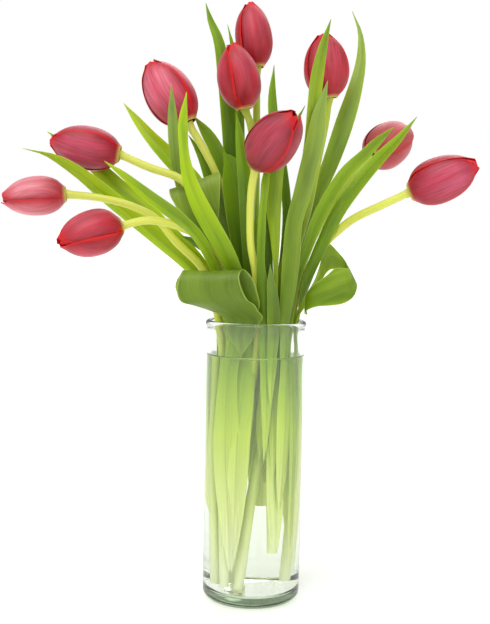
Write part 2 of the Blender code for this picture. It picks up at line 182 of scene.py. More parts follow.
def along(table, share):
    """The value of a table of (share, value) pairs, smoothly joined."""
    for (low, a), (high, b) in zip(table, table[1:]):
        if share <= high:
            return a + (b - a) * (share - low) / (high - low)
    return table[-1][1]


def rounded(table, share):
    """Like along, but averaged over a short stretch so that it has no corners."""
    reach = 0.07
    taps = [along(table, max(0.0, min(1.0, share + reach * k / 3.0))) for k in range(-3, 4)]
    return sum(taps) / len(taps)


# ---- materials --------------------------------------------------------------

def shade(red, green, blue):
    """A linear colour from display values of 0 to 255."""
    linear = []
    for value in (red, green, blue):
        share = value / 255.0
        linear.append(share / 12.92 if share <= 0.04045
                      else ((share + 0.055) / 1.055) ** 2.4)
    return (*linear, 1.0)


class Graph:
    """A material's nodes, added one at a time."""

    def __init__(self, name):
        self.material = bpy.data.materials.new(name)
        self.material.use_nodes = True
        self.tree = self.material.node_tree
        self.shader = self.tree.nodes["Principled BSDF"]

    def feed(self, socket, value):
        """Set a socket to a value or link it to another socket."""
        if isinstance(value, bpy.types.NodeSocket):
            self.tree.links.new(value, socket)
        else:
            socket.default_value = value

    def add(self, kind, inputs=None, **settings):
        """A new node with its settings and inputs."""
        node = self.tree.nodes.new(kind)
        for key, value in settings.items():
            setattr(node, key, value)
        for key, value in (inputs or {}).items():
            self.feed(node.inputs[key], value)
        return node

    def math(self, operation, a, b=0.0):
        """One arithmetic step."""
        return self.add("ShaderNodeMath", {0: a, 1: b}, operation=operation).outputs[0]

    def mix(self, factor, a, b, blend="MIX"):
        """Two colours mixed by a factor."""
        node = self.add("ShaderNodeMix", {0: factor, 6: a, 7: b},
                        data_type="RGBA", blend_type=blend)
        return node.outputs[2]

    def ramp(self, factor, stops):
        """Colours or greys spread over 0 to 1."""
        node = self.add("ShaderNodeValToRGB", {0: factor})
        marks = node.color_ramp.elements
        while len(marks) < len(stops):
            marks.new(0.5)
        for mark, (place, colour) in zip(marks, stops):
            mark.position = place
            mark.color = colour if isinstance(colour, tuple) else (colour, colour, colour, 1.0)
        return node.outputs[0]

    def coordinates(self, layer):
        """The two coordinates of a UV layer."""
        uv = self.add("ShaderNodeUVMap", uv_map=layer)
        split = self.add("ShaderNodeSeparateXYZ", {0: uv.outputs[0]})
        return uv.outputs[0], split.outputs[0], split.outputs[1]

    def noise(self, vector, stretch, scale, detail=3.0):
        """Noise over a UV layer, stretched by (across, along)."""
        place = self.add("ShaderNodeMapping", {"Vector": vector, "Scale": (*stretch, 1.0)})
        made = self.add("ShaderNodeTexNoise",
                        {"Vector": place.outputs[0], "Scale": scale, "Detail": detail})
        return made.outputs[0]

    def bump(self, height, strength, distance):
        """A bump from a height, on the shader."""
        made = self.add("ShaderNodeBump",
                        {"Strength": strength, "Distance": distance, "Height": height})
        self.feed(self.shader.inputs["Normal"], made.outputs[0])


def across_of(graph, u):
    """0 on the midline and 1 at either margin."""
    doubled = graph.math("MULTIPLY_ADD", u, 2.0)
    doubled.node.inputs[2].default_value = -1.0
    return graph.math("ABSOLUTE", doubled)


def height_share(graph, full):
    """0 at the foot and 1 at the full height, given in millimetres."""
    place = graph.add("ShaderNodeTexCoord").outputs["Object"]
    height = graph.add("ShaderNodeSeparateXYZ", {0: place}).outputs[2]
    return graph.math("MULTIPLY", height, 1.0 / (full * MM))


def paler_base_and_painted_light(graph, body):
    """Paler and yellower colours from the waterline down to the foot: partly the stems' and
    sheaths' own pale base, partly painted light where they stand in the water.
    """
    share = height_share(graph, VASE_HEIGHT)
    tint = graph.ramp(share, [(0.10, shade(246, 248, 212)), (0.32, shade(236, 244, 160)),
                              (0.60, shade(208, 228, 84)), (0.88, shade(166, 200, 14))])
    amount = graph.ramp(share, [(0.62, 0.92), (0.80, 0.60), (0.96, 0.0)])
    return graph.mix(amount, body, tint)


def painted_crowd_shade(graph, body, amount):
    """Painted shade: deeper green where the leaves crowd together just above the rim."""
    share = height_share(graph, CROWD_HEIGHT)
    crowd_shade_mask = graph.ramp(share, [(0.58, 0.0), (0.64, amount), (0.71, 0.75 * amount), (0.88, 0.0)])
    return graph.mix(crowd_shade_mask, body, shade(50, 84, 0))


def leaf_material(name, root, low, high, tip, under, glow, heart_shade):
    """A leaf: colours along its length, fine veins, painted shade in its fold, thin pale margins
    partly painted as highlight, painted light and shade across its halves and painted shade where
    the leaves crowd.
    """
    graph = Graph(name)
    _, u, v = graph.coordinates("strip")
    fibre, _, _ = graph.coordinates("fibre")
    side = graph.add("ShaderNodeAttribute", attribute_name="side").outputs["Fac"]
    across = across_of(graph, u)
    body = graph.ramp(v, [(0.0, root), (0.26, low), (0.62, high), (1.0, tip)])
    body = graph.mix(side, body, under)
    cloud = graph.noise(fibre, (0.07, 0.012), 1.0, 3.0)
    warm = graph.ramp(cloud, [(0.42, 0.0), (0.66, 1.0)])
    body = graph.mix(graph.math("MULTIPLY", warm, 0.45), body, glow)
    dull = graph.ramp(cloud, [(0.30, 1.0), (0.46, 0.0)])
    body = graph.mix(graph.math("MULTIPLY", dull, 0.40), body, shade(58, 92, 26))
    # painted shade where the leaves crowd just above the rim
    body = painted_crowd_shade(graph, body, heart_shade)
    # paler in the water: partly the leaf's own pale base, partly painted light
    body = paler_base_and_painted_light(graph, body)
    # painted light and shade: one half of the leaf lighter, the other darker just past the
    # midline
    painted_side_shade = graph.ramp(u, [(0.05, 1.10), (0.5, 0.98), (0.56, 0.84), (0.95, 1.0)])
    body = graph.mix(0.8, body, painted_side_shade, "MULTIPLY")
    veins = graph.noise(fibre, (1.5, 0.010), 1.0, 4.0)
    lines = graph.ramp(veins, [(0.34, 0.80), (0.5, 0.98), (0.66, 1.12)])
    body = graph.mix(0.6, body, lines, "MULTIPLY")
    # painted shade: a darker line down the fold in the middle
    middle = graph.ramp(across, [(0.0, 1.0), (0.09, 0.0)])
    body = graph.mix(graph.math("MULTIPLY", middle, 0.28), body, shade(64, 100, 18))
    # thin pale margins: partly the leaf's own paler edge, partly a painted highlight along it
    edge = graph.ramp(across, [(0.945, 0.0), (0.995, 1.0)])
    body = graph.mix(graph.math("MULTIPLY", edge, 0.40), body, shade(206, 218, 120))
    graph.feed(graph.shader.inputs["Base Color"], body)
    rough = graph.ramp(veins, [(0.3, 0.34), (0.7, 0.50)])
    graph.feed(graph.shader.inputs["Roughness"], rough)
    graph.shader.inputs["Specular IOR Level"].default_value = 0.34
    graph.shader.inputs["Specular Tint"].default_value = (0.95, 1.0, 0.80, 1.0)
    graph.shader.inputs["Subsurface Weight"].default_value = 0.30
    graph.shader.inputs["Subsurface Radius"].default_value = (0.9, 1.0, 0.05)
    graph.shader.inputs["Subsurface Scale"].default_value = 0.0016
    graph.bump(veins, 0.35, 0.0003)
    return graph.material


def petal_material(name, foot, main, bloom, edge, deep, bloom_share):
    """A petal: a pale bloom up the middle, dark towards the foot, bright thin margins."""
    graph = Graph(name)
    _, u, v = graph.coordinates("strip")
    fibre, _, _ = graph.coordinates("fibre")
    side = graph.add("ShaderNodeAttribute", attribute_name="side").outputs["Fac"]
    across = across_of(graph, u)
    streaks = graph.noise(fibre, (0.60, 0.030), 1.0, 5.0)
    broad = graph.noise(fibre, (0.11, 0.035), 1.0, 2.0)
    body = graph.mix(graph.ramp(broad, [(0.36, 0.0), (0.64, 0.8)]), main, deep)
    middle = graph.ramp(across, [(0.0, 0.70), (0.25, 1.0), (0.60, 0.65), (0.88, 0.0)])
    rise = graph.ramp(v, [(0.05, 0.05), (0.22, 0.35), (0.50, 0.85), (0.74, 1.0), (0.97, 0.3)])
    streaked = graph.ramp(streaks, [(0.34, 0.45), (0.62, 1.0)])
    pale = graph.math("MULTIPLY", graph.math("MULTIPLY", middle, rise), streaked)
    body = graph.mix(graph.math("MULTIPLY", pale, bloom_share), body, bloom)
    rim = graph.ramp(across, [(0.86, 0.0), (0.96, 1.0)])
    body = graph.mix(graph.math("MULTIPLY", rim, 0.80), body, edge)
    crest = graph.ramp(v, [(0.86, 0.0), (0.99, 1.0)])
    body = graph.mix(graph.math("MULTIPLY", crest, 0.6), body, edge)
    fine = graph.noise(fibre, (2.2, 0.05), 1.0, 3.0)
    body = graph.mix(0.5, body, graph.ramp(fine, [(0.32, 0.80), (0.68, 1.14)]), "MULTIPLY")
    low = graph.ramp(v, [(0.010, 0.80), (0.030, 0.35), (0.055, 0.0)])
    body = graph.mix(low, body, foot)
    body = graph.mix(graph.math("MULTIPLY", side, 0.8), body, edge)
    graph.feed(graph.shader.inputs["Base Color"], body)
    graph.feed(graph.shader.inputs["Roughness"],
               graph.ramp(streaks, [(0.3, 0.34), (0.7, 0.50)]))
    graph.shader.inputs["Specular IOR Level"].default_value = 0.34
    graph.shader.inputs["Subsurface Weight"].default_value = 0.16
    graph.shader.inputs["Subsurface Radius"].default_value = (1.0, 0.25, 0.28)
    graph.shader.inputs["Subsurface Scale"].default_value = 0.0018
    graph.shader.inputs["Sheen Weight"].default_value = 0.12
    graph.shader.inputs["Sheen Roughness"].default_value = 0.4
    graph.shader.inputs["Sheen Tint"].default_value = (1.0, 0.78, 0.84, 1.0)
    graph.bump(fine, 0.30, 0.0003)
    return graph.material


def stem_material(name, pale_lit_in_water, low, high, neck):
    """A stem: pale in the water, partly its own colour and partly painted light, green above,
    yellower towards the flower.
    """
    graph = Graph(name)
    _, _, v = graph.coordinates("strip")
    fibre, _, _ = graph.coordinates("fibre")
    body = graph.ramp(v, [(0.05, pale_lit_in_water), (0.45, low), (0.72, high), (0.97, neck)])
    cloud = graph.noise(fibre, (0.12, 0.02), 1.0, 2.0)
    body = graph.mix(graph.math("MULTIPLY", cloud, 0.35), body, shade(176, 196, 74))
    # paler in the water: partly the stem's own pale base, partly painted light
    body = paler_base_and_painted_light(graph, body)
    fine = graph.noise(fibre, (1.4, 0.02), 1.0, 3.0)
    body = graph.mix(0.6, body, graph.ramp(fine, [(0.35, 0.84), (0.65, 1.08)]), "MULTIPLY")
    graph.feed(graph.shader.inputs["Base Color"], body)
    graph.feed(graph.shader.inputs["Roughness"],
               graph.ramp(fine, [(0.3, 0.34), (0.7, 0.48)]))
    graph.shader.inputs["Subsurface Weight"].default_value = 0.3
    graph.shader.inputs["Subsurface Radius"].default_value = (0.9, 1.0, 0.35)
    graph.shader.inputs["Subsurface Scale"].default_value = 0.003
    graph.bump(fine, 0.25, 0.0003)
    return graph.material


def clear_material(name, colour, ior, rough_low, rough_high, waves, thickness_tint, density):
    """Clear glass or water that lets lamps through to what stands in it."""
    graph = Graph(name)
    shader = graph.shader
    shader.inputs["Base Color"].default_value = colour
    shader.inputs["IOR"].default_value = ior
    shader.inputs["Transmission Weight"].default_value = 1.0
    place = graph.add("ShaderNodeTexCoord").outputs["Object"]
    ripple = graph.noise(place, (1.0, 1.0), waves, 2.0)
    rough = graph.ramp(ripple, [(0.3, rough_low), (0.7, rough_high)])
    graph.feed(shader.inputs["Roughness"], rough)
    graph.bump(ripple, 0.12, 0.0006)
    output = graph.tree.nodes["Material Output"]
    path = graph.add("ShaderNodeLightPath")
    open_way = graph.add("ShaderNodeBsdfTransparent", {"Color": (0.97, 0.985, 0.97, 1.0)})
    passing = graph.math("MAXIMUM", path.outputs["Is Shadow Ray"], path.outputs["Is Diffuse Ray"])
    blend = graph.add("ShaderNodeMixShader", {0: passing})
    graph.feed(blend.inputs[1], shader.outputs[0])
    graph.feed(blend.inputs[2], open_way.outputs[0])
    graph.feed(output.inputs["Surface"], blend.outputs[0])
    depth = graph.add("ShaderNodeVolumeAbsorption",
                      {"Color": thickness_tint, "Density": density})
    graph.feed(output.inputs["Volume"], depth.outputs[0])
    return graph.material


# ---- meshes -----------------------------------------------------------------

def add_piece(name, points, faces, finish, node, marks=None):
    """A smooth piece with its strip and fibre coordinates for each point."""
    mesh = bpy.data.meshes.new(name)
    mesh.from_pydata([Vector(point) * MM for point in points], [], faces)
    mesh.materials.append(finish)
    mesh.shade_smooth()
    mesh.set_sharp_from_angle(angle=math.radians(50))
    if marks:
        strip = mesh.uv_layers.new(name="strip")
        fibre = mesh.uv_layers.new(name="fibre")
        side = mesh.attributes.new("side", "FLOAT", "POINT")
        for index, mark in enumerate(marks):
            side.data[index].value = mark[4]
        for loop in mesh.loops:
            mark = marks[loop.vertex_index]
            strip.data[loop.index].uv = mark[:2]
            fibre.data[loop.index].uv = mark[2:4]
    made = bpy.data.objects.new(name, mesh)
    bpy.context.collection.objects.link(made)
    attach(made, "root")
    if node:
        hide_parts(node)
    return made


def tube_faces(rows, sides, capped=True):
    """Faces of a closed tube of rings."""
    faces = []
    for i in range(rows - 1):
        for k in range(sides):
            after = (k + 1) % sides
            low, high = i * sides, (i + 1) * sides
            faces.append((low + k, low + after, high + after, high + k))
    if capped:
        faces.append(tuple(reversed(range(sides))))
        top = (rows - 1) * sides
        faces.append(tuple(range(top, top + sides)))
    return faces


# ---- vase and water ---------------------------------------------------------

VASE_RADIUS = 43.5
WALL = 3.5
FLOOR = 9.0
FOOT_RADIUS = 8.0
BEAD_HEIGHT = 8.0
BEAD_RADIUS = 3.3
LIP_RADIUS = 1.6
CORNER_RADIUS = 5.0
ROUND_SIDES = 96
WATER_LEVEL = 219.0
WATER_GAP = -0.04
MENISCUS = 1.6
MENISCUS_REACH = 4.5
GLASS_BUBBLES = 80
FLOOR_BUBBLES = 110
SIDE_BUBBLES = 50
BUBBLE_REACH = 37.0
# the larger bubbles at the waterline: middle and radius
SURFACE_BUBBLES = [((-18.0, -33.0, 216.0), 2.0), ((-15.4, -35.2, 217.0), 0.8),
                   ((28.0, -23.0, 216.5), 1.2)]


def quarter(centre_radius, centre_height, radius, start, end, steps):
    """Points of a round corner in the (radius, height) plane."""
    points = []
    for step in range(steps + 1):
        angle = math.radians(start + (end - start) * step / steps)
        points.append((centre_radius + radius * math.cos(angle),
                       centre_height + radius * math.sin(angle)))
    return points


def turned(profile):
    """Points and faces of a closed body turned about Z, axis to axis."""
    points, faces = [], []
    for radius, height in profile[1:-1]:
        for k in range(ROUND_SIDES):
            angle = math.tau * k / ROUND_SIDES
            points.append(Vector((radius * math.cos(angle), radius * math.sin(angle), height)))
    rows = len(profile) - 2
    faces = tube_faces(rows, ROUND_SIDES, capped=False)
    first, last = len(points), len(points) + 1
    points += [Vector((0.0, 0.0, profile[0][1])), Vector((0.0, 0.0, profile[-1][1]))]
    top = (rows - 1) * ROUND_SIDES
    for k in range(ROUND_SIDES):
        after = (k + 1) % ROUND_SIDES
        faces.append((first, after, k))
        faces.append((last, top + k, top + after))
    return points, faces


def add_void(points, faces, centre, radius):
    """A small round air bubble: its faces look inwards."""
    rings, sides = 5, 9
    start = len(points)
    points.append(centre + Vector((0.0, 0.0, -radius)))
    for i in range(1, rings):
        lean = math.pi * i / rings
        for k in range(sides):
            angle = math.tau * k / sides
            points.append(centre + radius * Vector((
                math.sin(lean) * math.cos(angle), math.sin(lean) * math.sin(angle),
                -math.cos(lean))))
    points.append(centre + Vector((0.0, 0.0, radius)))
    end = len(points) - 1
    for k in range(sides):
        after = (k + 1) % sides
        faces.append((start, start + 1 + k, start + 1 + after))
        top = end - sides
        faces.append((end, top + after, top + k))
        for i in range(rings - 2):
            low = start + 1 + i * sides
            faces.append((low + k, low + sides + k, low + sides + after, low + after))


def make_vase():
    """A straight glass with a thick floor, a round foot and a beaded rim."""
    inner = VASE_RADIUS - WALL
    bead_low = VASE_HEIGHT - BEAD_HEIGHT
    bead_middle = VASE_HEIGHT - 3.4
    profile = [(0.0, 0.0), (20.0, 0.0)]
    profile += quarter(VASE_RADIUS - FOOT_RADIUS, FOOT_RADIUS, FOOT_RADIUS, -90, 0, 12)
    profile += [(VASE_RADIUS, height) for height in range(20, 240, 20)]
    profile += [(VASE_RADIUS, bead_low - 1.0), (VASE_RADIUS + 0.15, bead_low + 0.4)]
    profile += quarter(VASE_RADIUS - 2.1, bead_middle, BEAD_RADIUS, -42, 92, 10)
    profile += quarter(inner + LIP_RADIUS, VASE_HEIGHT - 1.8, LIP_RADIUS, 100, 180, 5)
    profile += [(inner, height) for height in range(240, 10, -20)]
    profile += quarter(inner - CORNER_RADIUS, FLOOR + CORNER_RADIUS, CORNER_RADIUS,
                       -4, -90, 7)
    profile += [(16.0, FLOOR + 0.4), (0.0, FLOOR + 0.7)]
    points, faces = turned(profile)
    for _ in range(GLASS_BUBBLES):
        angle = random.uniform(0.0, math.tau)
        reach = BUBBLE_REACH * math.sqrt(random.uniform(0.0, 1.0))
        centre = Vector((reach * math.cos(angle), reach * math.sin(angle),
                         random.uniform(2.4, 7.2)))
        add_void(points, faces, centre, random.uniform(0.25, 0.7))
    finish = clear_material("glass_clear", (0.985, 1.0, 0.985, 1.0), 1.47, 0.0, 0.004, 60.0,
                            (0.42, 0.52, 0.36, 1.0), 34.0)
    add_piece("glass_vase", points, faces, finish, "vase")


def make_water():
    """The water: it climbs a little at the glass and holds a few bubbles."""
    wide = VASE_RADIUS - WALL - WATER_GAP
    low = FLOOR + 0.8
    profile = [(0.0, low), (16.0, low - 0.15)]
    profile += quarter(wide - CORNER_RADIUS, low + 4.9, CORNER_RADIUS, -88, 0, 7)
    profile += [(wide, height) for height in range(20, 220, 20)]
    profile += [(wide, WATER_LEVEL + MENISCUS)]
    for step in range(1, 7):
        away = MENISCUS_REACH * step / 6.0
        profile.append((wide - away, WATER_LEVEL + MENISCUS * math.exp(-away / 1.1)))
    profile += [(20.0, WATER_LEVEL), (0.0, WATER_LEVEL)]
    points, faces = turned(profile)
    for _ in range(FLOOR_BUBBLES):
        angle = random.uniform(0.0, math.tau)
        reach = BUBBLE_REACH * math.sqrt(random.uniform(0.0, 1.0))
        centre = Vector((reach * math.cos(angle), reach * math.sin(angle),
                         low + random.uniform(1.0, 3.0)))
        add_void(points, faces, centre, random.uniform(0.2, 0.6))
    for _ in range(SIDE_BUBBLES):
        angle = random.uniform(0.0, math.tau)
        centre = Vector((38.9 * math.cos(angle), 38.9 * math.sin(angle),
                         random.uniform(40.0, 214.0)))
        add_void(points, faces, centre, random.uniform(0.2, 0.45))
    for place, radius in SURFACE_BUBBLES:
        add_void(points, faces, Vector(place), radius)
    finish = clear_material("water_clear", (0.99, 1.0, 0.98, 1.0), 1.333, 0.0, 0.002, 30.0,
                            (0.90, 0.97, 0.60, 1.0), 1.6)
    add_piece("water_body", points, faces, finish, "water")


# ---- stems ------------------------------------------------------------------

STEM_RADIUS = 3.6
STEM_SIDES = 16
STEM_STEPS = 60
NECK = 1.0

# each stem's first colour is its pale colour in the water: partly its own, partly painted light
YELLOW_STEM = stem_material("stem_yellow", shade(240, 244, 176), shade(198, 214, 60),
                            shade(208, 214, 70), shade(220, 222, 96))
GREEN_STEM = stem_material("stem_green", shade(226, 236, 130), shade(160, 190, 30),
                           shade(150, 178, 30), shade(180, 196, 50))
YELLOW_STEMS = ("tulip_1", "tulip_2", "tulip_3", "tulip_7", "tulip_10", "tulip_4")


def make_stem(name):
    """A round stem that swells a little where the petals sit."""
    points = [Vector(row) for row in smooth(STEMS[name], STEM_STEPS)]
    ways = tangents(points)
    side = ways[0].cross(Vector((0.0, 1.0, 0.0))).normalized()
    total = sum((b - a).length for a, b in zip(points, points[1:]))
    run = 0.0
    seed = random.uniform(0.0, 900.0)
    vertices, marks = [], []
    for i, (point, way) in enumerate(zip(points, ways)):
        side = (side - way * side.dot(way)).normalized()
        across = way.cross(side)
        if i:
            run += (point - points[i - 1]).length
        share = run / total
        radius = STEM_RADIUS * (1.0 + 0.05 * math.sin(run / 23.0 + seed))
        radius *= 1.06 - 0.12 * ease(share)
        radius += NECK * ease((run - total + 6.0) / 6.0)
        for k in range(STEM_SIDES):
            angle = math.tau * k / STEM_SIDES
            ridge = 1.0 + 0.025 * math.cos(3.0 * angle + seed)
            vertices.append(point + radius * ridge * (side * math.cos(angle)
                                                      + across * math.sin(angle)))
            marks.append((0.5 + 0.5 * math.cos(angle), share,
                          radius * 1.5 * math.cos(angle) + seed, run + seed, 0.0))
    faces = tube_faces(STEM_STEPS + 1, STEM_SIDES)
    finish = YELLOW_STEM if name in YELLOW_STEMS else GREEN_STEM
    add_piece(name + "_stalk", vertices, faces, finish, name + "_stem", marks)


# ---- petals -----------------------------------------------------------------

# share of the length and of the radius along a closed tulip's side
CUP = [(0.0, 0.27), (0.05, 0.54), (0.15, 0.80), (0.30, 0.965), (0.45, 1.0), (0.62, 0.94),
       (0.78, 0.76), (0.89, 0.52), (0.96, 0.30), (1.0, 0.14)]
# share of the length and of the half-width, as an angle, along a petal
WIDTH = [(0.0, 0.70), (0.10, 0.90), (0.32, 1.0), (0.60, 1.02), (0.80, 0.98), (0.90, 0.88),
         (0.96, 0.66), (1.0, 0.22)]
OUTER_HALF = 66.0
INNER_HALF = 58.0
PETAL_ROWS = 30
PETAL_HALF_COLUMNS = 9
PETAL_THICKNESS = 0.55
INNER_INSET = 1.35
CREASE_DEPTH = 0.55
CREASE_WIDTH = 0.12
PETAL_RIPPLE = 0.30
HEAD_SINK = 0.7

FOOT = shade(206, 196, 96)
PETAL_LOOKS = {
    "rose": ((168, 22, 42), (220, 104, 134), (216, 4, 14), (124, 4, 16), 0.66),
    "scarlet": ((176, 20, 34), (218, 96, 118), (224, 6, 10), (132, 4, 12), 0.54),
    "pale": ((196, 62, 74), (238, 160, 172), (200, 28, 42), (158, 28, 40), 0.85),
    "dull": ((184, 66, 68), (206, 118, 120), (196, 24, 30), (150, 50, 50), 0.55),
    "dusky": ((150, 20, 36), (206, 90, 112), (214, 4, 14), (112, 4, 14), 0.55),
    "bright": ((188, 34, 54), (236, 130, 154), (220, 6, 18), (144, 8, 22), 0.80),
}
HEAD_LOOK = {"tulip_2": "pale", "tulip_9": "dull", "tulip_3": "scarlet", "tulip_5": "scarlet",
             "tulip_6": "scarlet", "tulip_8": "scarlet", "tulip_7": "dusky",
             "tulip_4": "bright"}


def petal_finishes():
    """One outer and one inner petal material for each look."""
    made = {}
    for look, (main, bloom, edge, deep, share) in PETAL_LOOKS.items():
        made[look, "outer"] = petal_material("petal_" + look, FOOT, shade(*main),
                                             shade(*bloom), shade(*edge), shade(*deep), share)
        made[look, "inner"] = petal_material("petal_inner_" + look, FOOT, shade(*main),
                                             shade(*bloom), shade(*edge), shade(*edge), 0.2)
    return made


def add_petal(name, node, place, length, radius, azimuth, outer, finish):
    """One petal on the cup: cupped, creased along its middle, with thin margins."""
    half_angle = math.radians(OUTER_HALF if outer else INNER_HALF)
    inset = 0.0 if outer else INNER_INSET
    seed = random.uniform(0.0, 900.0)
    lean = random.uniform(-0.02, 0.02)
    reach = length * (random.uniform(0.965, 1.0) if outer else random.uniform(0.95, 0.985))
    columns = [k / PETAL_HALF_COLUMNS for k in range(-PETAL_HALF_COLUMNS,
                                                     PETAL_HALF_COLUMNS + 1)]
    vertices, marks = [], []
    for i in range(PETAL_ROWS + 1):
        t = i / PETAL_ROWS
        wide = half_angle * rounded(WIDTH, t)
        cup = radius * rounded(CUP, t) - inset * ease(t * 6.0)
        for skin, order in ((0.0, columns), (1.0, columns[::-1])):
            for s in order:
                angle = azimuth + wide * s + lean * t
                out = cup + (0.50 if outer else 0.30) * s * ease(t * 5.0)
                crease = CREASE_DEPTH * math.exp(-(s / CREASE_WIDTH) ** 2)
                out -= crease * ease(t * 3.0) * (1.0 - 0.6 * t)
                out += PETAL_RIPPLE * math.sin(5.0 * t + 2.6 * s + seed) * ease(t * 4.0)
                out += ease((abs(s) - 0.72) / 0.28) * ease((t - 0.55) / 0.4) * (
                    0.45 if outer else 0.25)
                thick = PETAL_THICKNESS * (1.0 - 0.75 * s * s)
                out -= thick if skin else 0.0
                height = reach * t - 1.5 * s * s * t * (1.0 - t)
                vertices.append(place @ Vector((out * math.cos(angle),
                                                out * math.sin(angle), height)))
                marks.append((0.5 + 0.5 * s, t, cup * wide * s + seed, height + seed, skin))
    sides = 2 * len(columns)
    faces = tube_faces(PETAL_ROWS + 1, sides)
    add_piece(name, vertices, faces, finish, node, marks)


def make_head(name, finishes):
    """Three outer and three inner petals about the stem's end."""
    tip, wide, twist = HEADS[name]
    base = Vector(STEMS[name][-1])
    axis = (Vector(tip) - base).normalized()
    base -= axis * HEAD_SINK
    length = (Vector(tip) - base).length
    place = Matrix.Translation(base) @ axis.to_track_quat("Z", "Y").to_matrix().to_4x4()
    look = HEAD_LOOK.get(name, "rose")
    for layer, offset in (("inner", 60.0), ("outer", 0.0)):
        for k in range(3):
            azimuth = math.radians(twist + offset + 120.0 * k + random.uniform(-4.0, 4.0))
            add_petal(f"{name}_{layer}_petal_{k + 1}", f"{name}_{layer}_petals", place,
                      length, wide / 2, azimuth, layer == "outer", finishes[look, layer])


# ---- leaves -----------------------------------------------------------------

LEAF_THICKNESS = 0.7
LEAF_STEPS = 56
CURL_STEPS = 110
LEAF_HALF_COLUMNS = 6
LEAF_CUP = 0.24

# colours of the root, low, high, tip, underside and warm patches, then how deep the painted shade
# is where the leaves crowd
LEAF_LOOKS = {
    "fresh": ((232, 240, 140), (112, 150, 0), (142, 180, 0), (156, 186, 24),
              (124, 156, 16), (180, 206, 8), 0.62),
    "sunny": ((232, 240, 140), (146, 182, 0), (158, 188, 4), (128, 158, 34),
              (150, 178, 20), (188, 210, 16), 0.10),
    "light": ((232, 240, 150), (122, 156, 4), (140, 168, 28), (126, 154, 34),
              (132, 160, 36), (166, 190, 36), 0.50),
    "grey": ((226, 236, 130), (122, 156, 6), (118, 146, 32), (136, 162, 76),
             (120, 146, 46), (154, 178, 60), 0.50),
    "mid": ((226, 236, 130), (112, 150, 0), (104, 138, 6), (140, 172, 26),
            (100, 132, 14), (130, 162, 20), 0.60),
    "deep": ((190, 214, 40), (66, 98, 0), (82, 116, 0), (122, 156, 24),
             (76, 108, 4), (110, 146, 0), 0.60),
    "loop": ((206, 222, 100), (120, 150, 20), (134, 160, 40), (124, 152, 36),
             (98, 130, 6), (158, 184, 50), 0.10),
}


def leaf_finish(look):
    """The material of a leaf's look, made once."""
    if "leaf_" + look not in bpy.data.materials:
        *colours, heart_shade = LEAF_LOOKS[look]
        leaf_material("leaf_" + look, *(shade(*colour) for colour in colours), heart_shade)
    return bpy.data.materials["leaf_" + look]


def add_leaf(name, node, points, halves, sags, finish, wave, square=True):
    """A leaf lofted through its sections, thinner and wavy at its margins."""
    ways = tangents(points)
    total = sum((b - a).length for a, b in zip(points, points[1:]))
    run = 0.0
    seed = random.uniform(0.0, 900.0)
    columns = [k / LEAF_HALF_COLUMNS for k in range(-LEAF_HALF_COLUMNS, LEAF_HALF_COLUMNS + 1)]
    vertices, marks = [], []
    for i, (point, way, half, sag) in enumerate(zip(points, ways, halves, sags)):
        reach = half.length
        across = half / reach
        if square:
            across = (across - way * across.dot(way)).normalized()
        up = way.cross(across).normalized()
        if i:
            run += (point - points[i - 1]).length
        swing = wave * math.sin(run / 13.0 + seed) * ease(reach / 6.0)
        for skin, order in ((0.0, columns), (1.0, columns[::-1])):
            for s in order:
                thick = min(LEAF_THICKNESS, reach) * (0.5 - 0.36 * s * s)
                lift = sag * (0.45 * s * s + 0.55 * abs(s) - 0.5) + swing * s * abs(s)
                lift += thick if skin else -thick
                vertices.append(point + across * reach * s + up * lift)
                marks.append((0.5 + 0.5 * s, run / total, reach * s + seed, run + seed, skin))
    faces = tube_faces(len(points), 2 * len(columns))
    add_piece(name, vertices, faces, finish, node, marks)


def make_leaf(name):
    """A plain leaf, from its sheath in the water up to its tip."""
    look, cup, wave = LEAF_STYLE[name]
    rows = SHEATHS[name] + LEAVES[name]
    points, halves, sags = [], [], []
    for x, y, z, width, turn in smooth(rows, LEAF_STEPS):
        reach = max(width / 2, 0.25)
        angle = math.radians(turn)
        points.append(Vector((x, y, z)))
        halves.append(Vector((math.cos(angle), math.sin(angle), 0.0)) * reach)
        sags.append(cup * reach)
    add_leaf(name + "_blade", name, points, halves, sags, leaf_finish(look), wave)


def make_curled_leaf(name):
    """A leaf that rolls over."""
    look, cup, wave = LEAF_STYLE[name]
    rows = SHEATHS[name] + CURLED_LEAVES[name]
    points, halves, sags = [], [], []
    for row in smooth(rows, CURL_STEPS):
        half = Vector(row[3:6])
        if half.length < 0.3:
            half = half.normalized() * 0.3
        points.append(Vector(row[:3]))
        halves.append(half)
        sags.append(row[6] * cup)
    add_leaf(name + "_blade", name, points, halves, sags, leaf_finish(look), wave, square=False)


# ---- design tables, in millimetres ------------------------------------------

